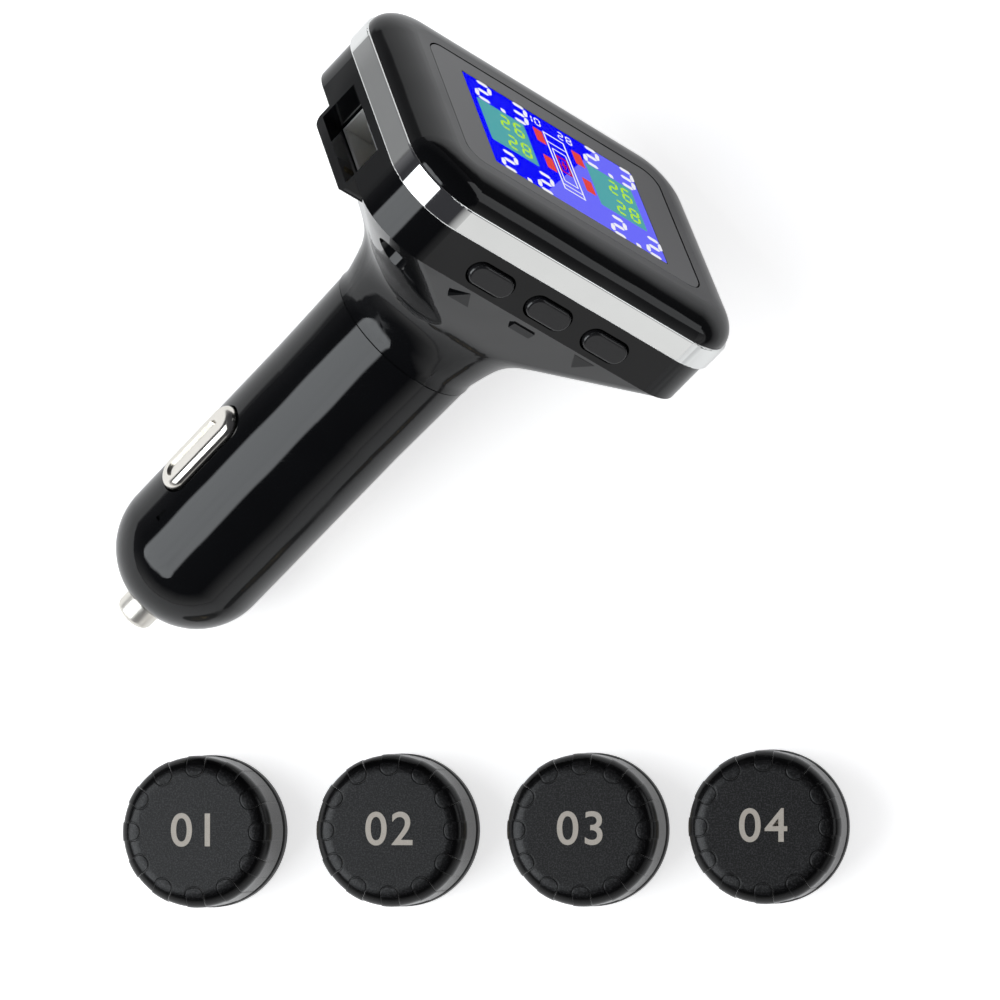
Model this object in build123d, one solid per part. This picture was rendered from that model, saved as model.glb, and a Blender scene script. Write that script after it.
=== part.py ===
"""Tire pressure monitor: a display unit on a 12 V lighter plug, and four valve-cap sensors.

Millimetres. The frame's origin is on the plug's axis, halfway along its round barrel, and +Z is up.
The display unit is modelled in a frame of its own, then laid down. In that frame +Z points out of
the display, +Y is the display's top, -X is the side with the USB socket, and z = 0 is the front face.
Each sensor is modelled upright with its open end on z = 0, then set on the ground.
"""
from build123d import *
import os
from math import pi

# ---- how the set lies ----
ROLL = 45.0          # direction, round the plug's axis, of the head corner that the unit lies on
LEAN = 17.13         # the plug's axis falls this far below level towards its tip
YAW = 42.67          # heading of the display, seen from above
GROUND_Z = -14.58    # what the set lies on
SENSOR_AT = [(-9.6, -45.6), (15.7, -45.4), (40.4, -45.3), (63.7, -44.9)]

# ---- head ----
HEAD_W, HEAD_H, HEAD_R = 54.4, 39.2, 8.2      # outline of the trim band
BAND_TOP, BAND_BOTTOM = -3.3, -6.8
BAND_T = 1.3
BEZEL_INSET, SHELL_INSET = 0.3, 0.4           # bezel and rear shell stand inside the band
BEZEL_ROUND = 5.2                             # width of the bezel's rounded border
BEZEL_PLATE_T = 1.8
SKIRT_END, SKIRT_T, SKIRT_GAP = -6.0, 1.4, 0.2   # the bezel's skirt inside the band
CREASE_Z = -12.7                              # side wall meets the neck
WALL = 1.6
LENS_W, LENS_H, LENS_R, LENS_T = 40.3, 24.7, 2.7, 0.5
LENS_GAP, LENS_SUNK, LENS_CHAMFER = 0.1, 0.05, 0.12
LCD_W, LCD_H, LCD_T = 34.6, 22.0, 1.6
LCD_TOP, LCD_GAP = -0.6, 0.2
TRAY_W, TRAY_H, TRAY_T, TRAY_GAP = 37.0, 24.0, 2.45, 0.3
TRAY_RIM, TRAY_SKIN = 1.5, 0.6
BOARD_W, BOARD_H, BOARD_T, BOARD_TOP = 46.0, 32.0, 1.0, -5.2
SCREW_X, SCREW_Y = 19.5, 14.2
SCREW_SEAT_Z = -10.2
SEAT_T = 1.6
WELL_R, WELL_WALL = 2.5, 1.1
BOSS_SCREW_R, PILOT_R, PILOT_TOP, BOSS_GAP = 2.6, 1.0, -4.0, 0.05
SCREW_HEAD_R, SCREW_HEAD_T, SCREW_SHANK_R, SCREW_TIP, SCREW_HOLE_R = 2.2, 1.5, 0.95, -4.3, 1.15
CROSS_HALF_L, CROSS_HALF_W, CROSS_DEPTH = 1.3, 0.3, 0.8
BAND_EDGE = 0.25

# ---- neck: straight slopes from the crease, then a flare into the barrel ----
SLOPE_SHARE = 0.0845           # part of the head's outline lost for each millimetre down the slope
SLOPE_END = -21.1
FLARE = [(-23.5, 0.13), (-26.0, 0.055), (-28.5, 0.018), (-31.0, 0.004)]   # (z, share of the outline)
NECK_END_R = 10.65
NECK_WALL = 1.8
MARK_W, MARK_TALL, MARK_DEPTH = 3.4, 2.3, 1.6
MARK_X, MARK_FOOT, MARK_FACING = -0.3, (-17.78, -15.49), (0, -0.923, -0.384)

# ---- buttons on the long side ----
BUTTON_PITCH, BUTTON_Z = 9.75, -10.1
BUTTON_L, BUTTON_W, BUTTON_GAP = 6.7, 3.0, 0.32
BUTTON_PROUD, BUTTON_EDGE = 0.6, 0.35
WING_HALF_L, WING_HALF_W, WING_T, WING_GAP = 4.5, 1.3, 0.6, 0.1
STEM_R, STEM_L = 1.0, 1.8
SWITCH_HALF_W, SWITCH_L, SWITCH_END, SWITCH_FACE, SWITCH_BORE_R = 3.0, 3.0, -11.8, -15.9, 1.3

# ---- USB socket on the short side ----
USB_Z = -11.2
HOOD_HALF, HOOD_BOTTOM, HOOD_DEPTH = 7.6, -15.5, 7.3
MOUTH_W, MOUTH_H = 13.8, 6.0
USB_RECESS = 3.2
USB_W, USB_H, USB_L, USB_T = 13.1, 5.7, 14.0, 0.35
HOOD_TOP, HOOD_EDGE, MOUTH_L = -8.0, 1.2, 16.0
TONGUE_SET_BACK, TONGUE_HALF_W, TONGUE_GAP, TONGUE_T = 1.2, 5.55, 0.6, 1.85
TONGUE_ROOT_L, TONGUE_ROOT_HALF_W, TONGUE_ROOT_T = 1.5, 6.1, 4.9
POWER_X, POWER_L, POWER_W, POWER_T = -6.5, 25.0, 18.0, 1.0
INDUCTOR_W, INDUCTOR_T = 7.5, 4.0

# ---- lighter plug ----
PLUG_R = 10.4
PLUG_TOP, ROUND_TOP, DOME_TOP, PLUG_END = -31.0, -44.0, -72.5, -82.2
DOME_L = 10.2
PLUG_IN_R = 8.6
SPIGOT_R, SPIGOT_IN_R, SPIGOT_TOP = 8.7, 7.5, -25.6
SEAT_Z = -79.2                # shelf inside the nose that holds the tip pin
TIP_R, TIP_END, TIP_FLANGE_R, TIP_FLANGE_T = 2.6, -85.5, 3.7, 0.85
FUSE_R, FUSE_L, FUSE_CAP_L = 3.1, 22.0, 5.0
CORE_R, CORE_IN_R, CORE_TOP, CORE_LID_T, CORE_WIRE_R = 5.2, 4.0, -46.5, 1.1, 1.5
CORE_DISCS, CORE_DISC_T = (-50.0, -70.2), 1.2
SPRING_END, TIP_COIL_R, TIP_WIRE, TIP_PITCH = -48.2, 2.7, 0.35, 1.6
CONTACT_Z, CONTACT_L, CONTACT_W = -59.3, 14.0, 5.0
CONTACT_OUT, CONTACT_IN, CONTACT_FLANGE, CONTACT_CROWN = 11.45, 7.0, 1.2, 1.0
DISH_SHIFT, DISH_SHORT, DISH_NARROW, DISH_DEPTH = -0.6, 4.2, 2.9, 0.35
SIDE_COIL_R, SIDE_WIRE, SIDE_PITCH = 1.5, 0.16, 0.62
LATCH_TURN, LATCH_DEPTH, LATCH_HALF_W, LATCH_ENDS = -162, 0.35, 0.35, (-69.6, -67.9)

# ---- sensor ----
CAP_R, CAP_TOP, CAP_BOTTOM, CAP_ROUND = 9.7, 13.0, 2.7, 2.3
CAP_IN_R, CAP_CEILING = 8.5, 11.5
PAD_COUNT, PAD_W, PAD_END, PAD_H = 12, 2.4, 8.3, 0.09
BASE_R, BASE_T = 9.9, 2.4
BOSS_R, BOSS_IN_R, BOSS_TOP = 8.4, 7.4, 7.8
INSERT_R, INSERT_TOP = 4.9, 6.8
VALVE_R, VALVE_DEPTH = 3.5, 6.0
SEAL_T, SEAL_R, SEAL_BORE_R = 1.0, 4.1, 1.0
MOUTH_R, RING_R, RING_T, AIR_HOLE_R = 9.3, 9.2, 0.8, 0.6     # cap mouth, ring in it, air hole to the board
CELL_R, CELL_T, SENSOR_BOARD_T = 6.25, 2.5, 0.9

Z_UP = Vector(0, 0, 1)


def plate(w, h, r, z0, z1):
    """Flat plate with rounded corners between two heights."""
    return extrude(Pos(0, 0, z0) * RectangleRounded(w, h, r), z1 - z0)


def disc(r, z0, z1):
    """Round bar on the Z axis."""
    return Pos(0, 0, (z0 + z1) / 2) * Cylinder(r, z1 - z0)


def tube(r_out, r_in, z0, z1):
    """Round tube on the Z axis."""
    return disc(r_out, z0, z1) - disc(r_in, z0 - 1, z1 + 1)


def block(x0, x1, y0, y1, z0, z1):
    """Box between two corners."""
    return Pos((x0 + x1) / 2, (y0 + y1) / 2, (z0 + z1) / 2) * Box(x1 - x0, y1 - y0, z1 - z0)


def slot_y(x, z, length, width, y0, y1):
    """Obround prism, long in X, that runs along Y from y0 to y1."""
    face = Plane(origin=(x, y0, z), x_dir=(1, 0, 0), z_dir=(0, 1, 0)) * SlotOverall(length, width)
    return extrude(face, y1 - y0, dir=(0, 1, 0))


def slot_x(side, z, length, width, x0, x1):
    """Obround prism, long in Z, that runs outward along side * X from x0 to x1."""
    plane = Plane(origin=(side * x0, 0, z), x_dir=(0, 0, 1), z_dir=(side, 0, 0))
    return extrude(plane * SlotOverall(length, width), x1 - x0, dir=(side, 0, 0))


def corners(x, y):
    """The four mirror places of a point."""
    return [(sx * x, sy * y) for sx in (-1, 1) for sy in (-1, 1)]


def coil(r, wire, pitch, height):
    """Coil spring that stands on z = 0."""
    path = Helix(pitch=pitch, height=height, radius=r)
    ring = Plane(origin=path @ 0, z_dir=path % 0) * Circle(wire)
    return sweep(ring, path=path, is_frenet=True)


# ---------------------------------------------------------------- head

def front_bezel():
    """Front frame: a rounded border, a recess for the lens, a skirt and four screw bosses."""
    w, h, r = (HEAD_W - 2 * BEZEL_INSET, HEAD_H - 2 * BEZEL_INSET, HEAD_R - BEZEL_INSET)
    path = (Pos(0, 0, BAND_TOP) * RectangleRounded(w, h, r)).wire()
    tangent = path % 0
    outward = tangent.cross(Z_UP)
    section = Plane(origin=path @ 0, x_dir=outward, z_dir=-tangent)
    drop = -BAND_TOP
    curve = EllipticalCenterArc((-BEZEL_ROUND, 0), BEZEL_ROUND, drop, start_angle=0, arc_size=90)
    sides = Polyline((-BEZEL_ROUND, drop), (-BEZEL_ROUND, 0), (0, 0))
    border = sweep(section * make_face([curve, sides]), path=path)
    inner = plate(w - 2 * BEZEL_ROUND + 0.2, h - 2 * BEZEL_ROUND + 0.2, r - BEZEL_ROUND, -BEZEL_PLATE_T, 0)
    body = border + inner
    inset = BAND_T + SKIRT_GAP
    skirt_w, skirt_h, skirt_r = HEAD_W - 2 * inset, HEAD_H - 2 * inset, HEAD_R - inset
    body += plate(skirt_w, skirt_h, skirt_r, SKIRT_END, BAND_TOP) - plate(
        skirt_w - 2 * SKIRT_T, skirt_h - 2 * SKIRT_T, skirt_r - SKIRT_T, SKIRT_END - 1, BAND_TOP + 1)
    for x, y in corners(SCREW_X, SCREW_Y):
        body += Pos(x, y, 0) * disc(BOSS_SCREW_R, SCREW_SEAT_Z + SEAT_T + BOSS_GAP, -BEZEL_PLATE_T + 0.5)
    body -= plate(LENS_W + 2 * LENS_GAP, LENS_H + 2 * LENS_GAP, LENS_R + LENS_GAP, -LENS_T - LENS_SUNK, 1)
    body -= plate(LCD_W + 2 * LCD_GAP, LCD_H + 2 * LCD_GAP, 0.6, -3, 1)
    body -= plate(TRAY_W + 2 * TRAY_GAP, TRAY_H + 2 * TRAY_GAP, 0.8, SKIRT_END - 3, -BEZEL_PLATE_T)
    for x, y in corners(SCREW_X, SCREW_Y):
        body -= Pos(x, y, 0) * disc(PILOT_R, SCREW_SEAT_Z, PILOT_TOP)
    return body


def chrome_band():
    """Bright trim ring round the head."""
    ring = plate(HEAD_W, HEAD_H, HEAD_R, BAND_BOTTOM, BAND_TOP)
    for level in (BAND_TOP, BAND_BOTTOM):
        ring = fillet([e for e in ring.edges() if abs(e.center().Z - level) < 0.01], BAND_EDGE)
    return ring - plate(HEAD_W - 2 * BAND_T, HEAD_H - 2 * BAND_T, HEAD_R - BAND_T, -20, 1)


def display_lens():
    """Flat window in the bezel's recess."""
    lens = plate(LENS_W, LENS_H, LENS_R, -LENS_T - LENS_SUNK, -LENS_SUNK)
    return chamfer([e for e in lens.edges() if abs(e.center().Z + LENS_SUNK) < 0.01], LENS_CHAMFER)


def lcd_panel():
    """Display glass with its cell and polarisers."""
    return plate(LCD_W, LCD_H, 0.4, LCD_TOP - LCD_T, LCD_TOP)


def backlight():
    """Plastic light tray behind the display glass."""
    top = LCD_TOP - LCD_T
    tray = plate(TRAY_W, TRAY_H, 0.6, top - TRAY_T, top)
    pocket_w, pocket_h = TRAY_W - 2 * TRAY_RIM, TRAY_H - 2 * TRAY_RIM
    return tray - plate(pocket_w, pocket_h, 0.4, top - TRAY_T - 1, top - TRAY_T + TRAY_SKIN)


def main_board():
    """Printed board behind the display, notched for the screw bosses."""
    board = plate(BOARD_W, BOARD_H, 4.6, BOARD_TOP - BOARD_T, BOARD_TOP)
    for x, y in corners(SCREW_X, SCREW_Y):
        board -= Pos(x, y, 0) * disc(3.0, -9, -1)
    return board


def main_board_parts():
    """Parts soldered behind the main board: controller, radio can and buzzer."""
    under = BOARD_TOP - BOARD_T
    chip = Pos(4, 5, 0) * plate(9, 9, 0.3, under - 1.2, under)
    radio = Pos(-8, 11.3, 0) * plate(14, 7, 0.4, under - 2.0, under)
    buzzer = Pos(13.5, -1.5, 0) * (disc(4.5, under - 4.0, under) - disc(0.8, under - 5.0, under - 3.2))
    return {"controller_chip": chip, "radio_module": radio, "buzzer": buzzer}


def neck_loft(inset, drop):
    """Flared neck from the head's outline to the round barrel, inset and moved by drop in z."""
    half_w, half_h, r = HEAD_W / 2 - SHELL_INSET - 0.1, HEAD_H / 2 - SHELL_INSET - 0.1, HEAD_R - SHELL_INSET
    heights = [CREASE_Z + 3.4 - 1.68 * i for i in range(8) if CREASE_Z + 3.4 - 1.68 * i > SLOPE_END - 0.1]
    slope = [(z, 1 - SLOPE_SHARE * (CREASE_Z - z)) for z in heights]
    sections = []
    for z, share in slope + FLARE:
        radius = NECK_END_R + share * (r - NECK_END_R)
        w = 2 * (share * (half_w - r) + radius - inset)
        h = 2 * (share * (half_h - r) + radius - inset)
        sections.append(Pos(0, 0, z + drop) * RectangleRounded(w, h, radius - inset - 0.001))
    return loft(sections) & plate(2 * HEAD_W, 2 * HEAD_W, 1, 2 * PLUG_TOP, CREASE_Z + drop)


def button_marks():
    """Raised plain marks on the neck, one under each button: up, a bar, down. Each is a wedge, deeper at its foot."""
    half, tall = MARK_W / 2, MARK_TALL
    up = Polyline((-half, 0), (half, 0), (0, tall), close=True)
    down = Polyline((-half, tall), (half, tall), (0, 0), close=True)
    bar = Rectangle(MARK_W, tall / 2)
    shapes = [make_face(up), Pos(0, tall / 2, 0) * bar, make_face(down)]
    marks = []
    for i, shape in enumerate(shapes):
        plane = Plane(origin=(MARK_X + (i - 1) * BUTTON_PITCH, *MARK_FOOT), x_dir=(1, 0, 0), z_dir=MARK_FACING)
        marks.append(extrude(plane * shape, -MARK_DEPTH))
    return marks


def rear_shell():
    """Rear half of the head with the flared neck, USB hood, button holes and screw wells."""
    w, h, r = HEAD_W - 2 * SHELL_INSET, HEAD_H - 2 * SHELL_INSET, HEAD_R - SHELL_INSET
    outer = plate(w, h, r, CREASE_Z, BAND_BOTTOM) + neck_loft(0, 0)
    hollow = plate(w - 2 * WALL, h - 2 * WALL, r - WALL, CREASE_Z + 0.7, 0)
    hollow += neck_loft(NECK_WALL, 0.7)
    hollow += disc(NECK_END_R - NECK_WALL, PLUG_TOP - 1, -28)
    side = -w / 2
    hood = block(side, side + HOOD_DEPTH, -HOOD_HALF, HOOD_HALF, HOOD_BOTTOM, HOOD_TOP)
    low = [e for e in hood.edges().filter_by(Axis.X) if abs(e.center().Z - HOOD_BOTTOM) < 0.01]
    hood = fillet(low, HOOD_EDGE)
    posts = [(Pos(x, y, 0) * disc(WELL_R + WELL_WALL, -25, SCREW_SEAT_Z + SEAT_T)) & outer
             for x, y in corners(SCREW_X, SCREW_Y)]
    shell = (outer - hollow) + hood
    for post in posts:
        shell += post
    for mark in button_marks():
        shell += mark - hollow
    for x, y in corners(SCREW_X, SCREW_Y):
        shell -= Pos(x, y, 0) * (disc(WELL_R, -30, SCREW_SEAT_Z) + disc(SCREW_HOLE_R, -12, -6))
    half_w, half_h = MOUTH_W / 2, MOUTH_H / 2
    shell -= block(side - 1, side + MOUTH_L, -half_w, half_w, USB_Z - half_h, USB_Z + half_h)
    face_y = -h / 2
    for i in (-1, 0, 1):
        shell -= slot_y(i * BUTTON_PITCH, BUTTON_Z, BUTTON_L + 2 * BUTTON_GAP, BUTTON_W + 2 * BUTTON_GAP,
                        face_y - 1, face_y + WALL + 0.3)
    return shell


def shell_screws():
    """Four pan-head screws, up the wells and into the bezel's bosses."""
    screws = []
    for x, y in corners(SCREW_X, SCREW_Y):
        under = SCREW_SEAT_Z - SCREW_HEAD_T
        head = disc(SCREW_HEAD_R, under, SCREW_SEAT_Z)
        cross = block(-CROSS_HALF_L, CROSS_HALF_L, -CROSS_HALF_W, CROSS_HALF_W, under - 1, under + CROSS_DEPTH)
        cross += Rot(0, 0, 90) * cross
        screws.append(Pos(x, y, 0) * (head + disc(SCREW_SHANK_R, SCREW_SEAT_Z, SCREW_TIP) - cross))
    return Compound(children=screws)


def button(i):
    """Push button: obround cap, retaining wings and a stem that presses its key switch."""
    face_y = -(HEAD_H / 2 - SHELL_INSET)
    inner_y = face_y + WALL
    x = i * BUTTON_PITCH
    cap = slot_y(x, BUTTON_Z, BUTTON_L, BUTTON_W, face_y - BUTTON_PROUD, inner_y + 0.3)
    front = [e for e in cap.edges() if abs(e.center().Y - (face_y - BUTTON_PROUD)) < 0.01]
    cap = fillet(front, BUTTON_EDGE)
    wings = block(x - WING_HALF_L, x + WING_HALF_L, inner_y + WING_GAP, inner_y + WING_GAP + WING_T,
                  BUTTON_Z - WING_HALF_W, BUTTON_Z + WING_HALF_W)
    stem = Pos(x, inner_y + WING_T + STEM_L / 2, BUTTON_Z) * Rot(90, 0, 0) * Cylinder(STEM_R, STEM_L)
    return cap + wings + stem


def tact_switch(i):
    """Side-push key switch on the main board, open for the button's stem."""
    x = i * BUTTON_PITCH
    y0 = SWITCH_FACE
    body = block(x - SWITCH_HALF_W, x + SWITCH_HALF_W, y0, y0 + SWITCH_L, SWITCH_END, BOARD_TOP - BOARD_T)
    return body - Pos(x, y0 + 0.9, BUTTON_Z) * Rot(90, 0, 0) * Cylinder(SWITCH_BORE_R, 2.0)


def usb_parts():
    """USB-A receptacle: metal shell and plastic tongue."""
    front = -(HEAD_W / 2 - SHELL_INSET) + USB_RECESS
    half_w, half_h = USB_W / 2, USB_H / 2
    shell = block(front, front + USB_L, -half_w, half_w, USB_Z - half_h, USB_Z + half_h)
    shell -= block(front - 1, front + USB_L - USB_T, -half_w + USB_T, half_w - USB_T,
                   USB_Z - half_h + USB_T, USB_Z + half_h - USB_T)
    back = front + USB_L - USB_T
    roof = USB_Z + half_h - USB_T
    face = roof - TONGUE_GAP
    tongue = block(front + TONGUE_SET_BACK, back - TONGUE_ROOT_L, -TONGUE_HALF_W, TONGUE_HALF_W,
                   face - TONGUE_T, face)
    tongue += block(back - TONGUE_ROOT_L, back, -TONGUE_ROOT_HALF_W, TONGUE_ROOT_HALF_W,
                    roof - TONGUE_ROOT_T, roof)
    return {"usb_shell": shell, "usb_tongue": tongue}


def power_parts():
    """Supply board under the USB socket, with its inductor."""
    top = USB_Z - USB_H / 2 - 0.1
    under = top - POWER_T
    board = Pos(POWER_X, 0, 0) * plate(POWER_L, POWER_W, 1.0, under, top)
    inductor = plate(INDUCTOR_W, INDUCTOR_W, 1.5, under - INDUCTOR_T, under)
    return {"power_board": board, "power_inductor": inductor}


# ---------------------------------------------------------------- lighter plug

def plug_barrel():
    """Barrel of the plug: a slightly flared tube with a domed nose, a spigot and two contact slots."""
    edge = 0.18
    dome = EllipticalCenterArc((0, DOME_TOP), PLUG_R, DOME_L, start_angle=270, arc_size=90)
    nose_r = PLUG_R * (1 - ((DOME_TOP - PLUG_END) / DOME_L) ** 2) ** 0.5
    side = Polyline((0, DOME_TOP - DOME_L), (0, SPIGOT_TOP), (SPIGOT_R - 0.3, SPIGOT_TOP),
                    (SPIGOT_R, SPIGOT_TOP - 0.3), (SPIGOT_R, PLUG_TOP), (NECK_END_R - edge, PLUG_TOP),
                    (NECK_END_R, PLUG_TOP - edge), (PLUG_R, ROUND_TOP), (PLUG_R, DOME_TOP))
    body = revolve(Plane.XZ * make_face([dome, side]), Axis.Z)
    body -= disc(20, PLUG_END - 5, PLUG_END)
    body -= disc(SPIGOT_IN_R, PLUG_TOP - 1, 0)
    hollow = disc(PLUG_IN_R, DOME_TOP, PLUG_TOP - 2)
    nose = loft([Pos(0, 0, DOME_TOP) * Circle(PLUG_IN_R), Pos(0, 0, SEAT_Z) * Circle(CORE_R + 0.2)])
    body -= hollow + nose
    body -= disc(TIP_R + 0.08, -90, SEAT_Z + 1)
    rim = [e for e in body.edges() if abs(e.center().Z - PLUG_END) < 0.01 and e.length > 2 * pi * (nose_r - 0.1)]
    body = fillet(rim, 0.3)
    for side_x in (-1, 1):
        body -= slot_x(side_x, CONTACT_Z, CONTACT_L + 0.5, CONTACT_W + 0.5, 6, 14)
    latch = Rot(0, 0, LATCH_TURN) * block(
        PLUG_R - LATCH_DEPTH, PLUG_R + 1, -LATCH_HALF_W, LATCH_HALF_W, *LATCH_ENDS)
    return body - latch


def plug_core():
    """Inner carrier: a tube for the tip and fuse, with two discs that centre it in the barrel."""
    body = tube(CORE_R, CORE_IN_R, SEAT_Z + 0.05, CORE_TOP)
    body += disc(CORE_R, CORE_TOP - CORE_LID_T, CORE_TOP) - disc(CORE_WIRE_R, CORE_TOP - 2, CORE_TOP + 1)
    for z in CORE_DISCS:
        body += tube(PLUG_IN_R - 0.05, CORE_IN_R, z, z + CORE_DISC_T)
    return body


def tip_parts():
    """Centre contact pin, and the glass fuse that rides on it."""
    flange_top = SEAT_Z + 0.05 + TIP_FLANGE_T
    pin = disc(TIP_R, TIP_END, SEAT_Z + 0.1)
    end = [e for e in pin.edges() if abs(e.center().Z - TIP_END) < 0.01]
    pin = fillet(end, 0.8) + disc(TIP_FLANGE_R, SEAT_Z + 0.05, flange_top)
    top = flange_top + FUSE_L
    caps = disc(FUSE_R, flange_top, flange_top + FUSE_CAP_L) + disc(FUSE_R, top - FUSE_CAP_L, top)
    glass = tube(FUSE_R - 0.25, FUSE_R - 0.75, flange_top + 1.0, top - 1.0)
    return {"tip_pin": pin, "fuse_caps": caps - glass, "fuse_glass": glass}


def spring_parts():
    """Tip spring on the fuse, and the plate that it pushes against."""
    start = SEAT_Z + 0.05 + TIP_FLANGE_T + FUSE_L
    height = SPRING_END - start - 2 * TIP_WIRE
    spring = Pos(0, 0, start + TIP_WIRE) * coil(TIP_COIL_R, TIP_WIRE, TIP_PITCH, height)
    return {"tip_spring": spring, "fuse_contact": disc(CORE_IN_R - 0.1, SPRING_END, CORE_TOP - CORE_LID_T)}


def side_contact(side):
    """Earth contact: a pressed obround pad that stands out of its slot, with a flange behind it."""
    pad = slot_x(side, CONTACT_Z, CONTACT_L, CONTACT_W, CONTACT_IN + 0.5, CONTACT_OUT)
    crown = [e for e in pad.edges() if abs(e.center().X - side * CONTACT_OUT) < 0.01]
    pad = fillet(crown, CONTACT_CROWN)
    dish_l, dish_w = CONTACT_L - DISH_SHORT, CONTACT_W - DISH_NARROW
    pad -= slot_x(side, CONTACT_Z + DISH_SHIFT, dish_l, dish_w, CONTACT_OUT - DISH_DEPTH, CONTACT_OUT + 1)
    flange_l, flange_w = CONTACT_L + 2 * CONTACT_FLANGE, CONTACT_W + 2 * CONTACT_FLANGE
    return pad + slot_x(side, CONTACT_Z, flange_l, flange_w, CONTACT_IN, CONTACT_IN + 0.6)


def side_spring(side):
    """Small coil spring between the carrier and a side contact."""
    gap = CONTACT_IN - CORE_R
    spring = coil(SIDE_COIL_R, SIDE_WIRE, SIDE_PITCH, gap - 2 * SIDE_WIRE - 0.04)
    turn = Rot(0, side * 90, 0)
    return Pos(side * (CORE_R + SIDE_WIRE + 0.02), 0, CONTACT_Z) * turn * spring


# ---------------------------------------------------------------- sensors

def sensor_cap():
    """Round cap with a soft top edge and twelve low grip pads."""
    def dome(grow):
        body = disc(CAP_R + grow, CAP_BOTTOM, CAP_TOP + grow)
        return fillet([e for e in body.edges() if e.center().Z > CAP_TOP - 0.1], CAP_ROUND)
    cap = dome(0)
    pads = dome(PAD_H) - disc(20, -1, CAP_BOTTOM + RING_T)
    pad = extrude(Pos(PAD_END, 0, 0) * Circle(PAD_W / 2), 20) + block(
        PAD_END, PAD_END + 6, -PAD_W / 2, PAD_W / 2, 0, 20)
    cutters = Compound(children=[Rot(0, 0, 360 / PAD_COUNT * i) * pad for i in range(PAD_COUNT)])
    cap += pads & cutters
    cap -= disc(CAP_IN_R, 0, CAP_CEILING)
    return cap - disc(MOUTH_R, 0, CAP_BOTTOM + RING_T)


def sensor_parts():
    """Everything under the cap: base, brass valve insert, seals, board and coin cell."""
    base = disc(BASE_R, 0, BASE_T)
    base = fillet([e for e in base.edges() if e.length > 60], 0.5)
    base += disc(BOSS_R, BASE_T, BOSS_TOP) - disc(BOSS_IN_R, INSERT_TOP, 20)
    base -= disc(INSERT_R, -1, INSERT_TOP)
    insert = disc(INSERT_R, 0, INSERT_TOP) - disc(VALVE_R, -1, VALVE_DEPTH)
    insert -= disc(SEAL_R, VALVE_DEPTH - SEAL_T, VALVE_DEPTH)
    insert -= disc(AIR_HOLE_R, 0, 20)
    insert = chamfer([e for e in insert.edges() if e.center().Z < 0.01 and e.length < 2 * pi * 4], 0.4)
    board_top = INSERT_TOP + SENSOR_BOARD_T
    return {
        "sensor_base": base,
        "valve_insert": insert,
        "valve_seal": tube(SEAL_R - 0.05, SEAL_BORE_R, VALVE_DEPTH - SEAL_T, VALVE_DEPTH),
        "cap_ring": tube(RING_R, BOSS_R + 0.05, BASE_T, BASE_T + RING_T),
        "sensor_board": disc(BOSS_IN_R - 0.1, INSERT_TOP, board_top),
        "coin_cell": disc(CELL_R, board_top + 0.1, board_top + 0.1 + CELL_T),
        "sensor_cap": sensor_cap(),
    }


# ---------------------------------------------------------------- the set

def display_unit():
    """Every node of the display unit, in the unit's own frame."""
    nodes = {
        "front_bezel": front_bezel(), "chrome_band": chrome_band(), "display_lens": display_lens(),
        "lcd_panel": lcd_panel(), "backlight": backlight(), "main_board": main_board(),
        "rear_shell": rear_shell(), "shell_screws": shell_screws(),
        "plug_barrel": plug_barrel(), "plug_core": plug_core(),
        "side_contact_usb": side_contact(-1), "side_contact_far": side_contact(1),
        "side_spring_usb": side_spring(-1), "side_spring_far": side_spring(1),
    }
    for i, name in ((-1, "left"), (0, "middle"), (1, "right")):
        nodes["button_" + name] = button(i)
        nodes["tact_switch_" + name] = tact_switch(i)
    for group in (main_board_parts(), usb_parts(), power_parts(), tip_parts(), spring_parts()):
        nodes.update(group)
    return nodes


def main():
    os.makedirs("parts", exist_ok=True)
    middle = (ROUND_TOP + DOME_TOP) / 2
    laid = Rot(0, 0, YAW) * Rot(0, 90 - LEAN, 0) * Rot(0, 0, -ROLL) * Pos(0, 0, -middle)
    for name, shape in display_unit().items():
        export_step(laid * shape, "parts/" + name + ".step")
    sensor = sensor_parts()
    for number, (x, y) in enumerate(SENSOR_AT, start=1):
        for name, shape in sensor.items():
            export_step(Pos(x, y, GROUND_Z) * shape, "parts/" + name + "_" + str(number) + ".step")


main()
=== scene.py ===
"""Finishes, picture, markings and studio for a lighter-plug tire pressure monitor and its four sensors."""

from math import cos, pi, radians, sin

import bmesh
import bpy
from bpy.props import FloatProperty, FloatVectorProperty, PointerProperty
from mathutils import Matrix, Vector


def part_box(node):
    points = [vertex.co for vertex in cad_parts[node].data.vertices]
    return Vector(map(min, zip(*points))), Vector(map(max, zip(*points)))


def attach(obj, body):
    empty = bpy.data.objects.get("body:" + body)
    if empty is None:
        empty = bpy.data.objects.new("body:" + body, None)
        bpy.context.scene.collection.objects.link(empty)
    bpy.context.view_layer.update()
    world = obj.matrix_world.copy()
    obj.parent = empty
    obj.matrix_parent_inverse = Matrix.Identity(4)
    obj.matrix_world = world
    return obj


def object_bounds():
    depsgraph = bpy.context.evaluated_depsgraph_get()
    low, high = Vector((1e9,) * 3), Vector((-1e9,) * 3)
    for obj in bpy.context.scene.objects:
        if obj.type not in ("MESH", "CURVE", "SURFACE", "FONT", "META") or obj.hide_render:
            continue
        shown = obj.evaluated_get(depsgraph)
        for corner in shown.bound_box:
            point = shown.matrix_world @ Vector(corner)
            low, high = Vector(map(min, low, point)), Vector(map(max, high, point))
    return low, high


bl_info = {
    "name": "Tire Pressure Monitor",
    "version": (1, 0, 0),
    "blender": (4, 5, 0),
    "location": "View3D > Sidebar > Pressure Monitor",
    "description": "Finishes a lighter-plug tire pressure monitor and its four valve-cap sensors",
    "category": "Object",
}

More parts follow.
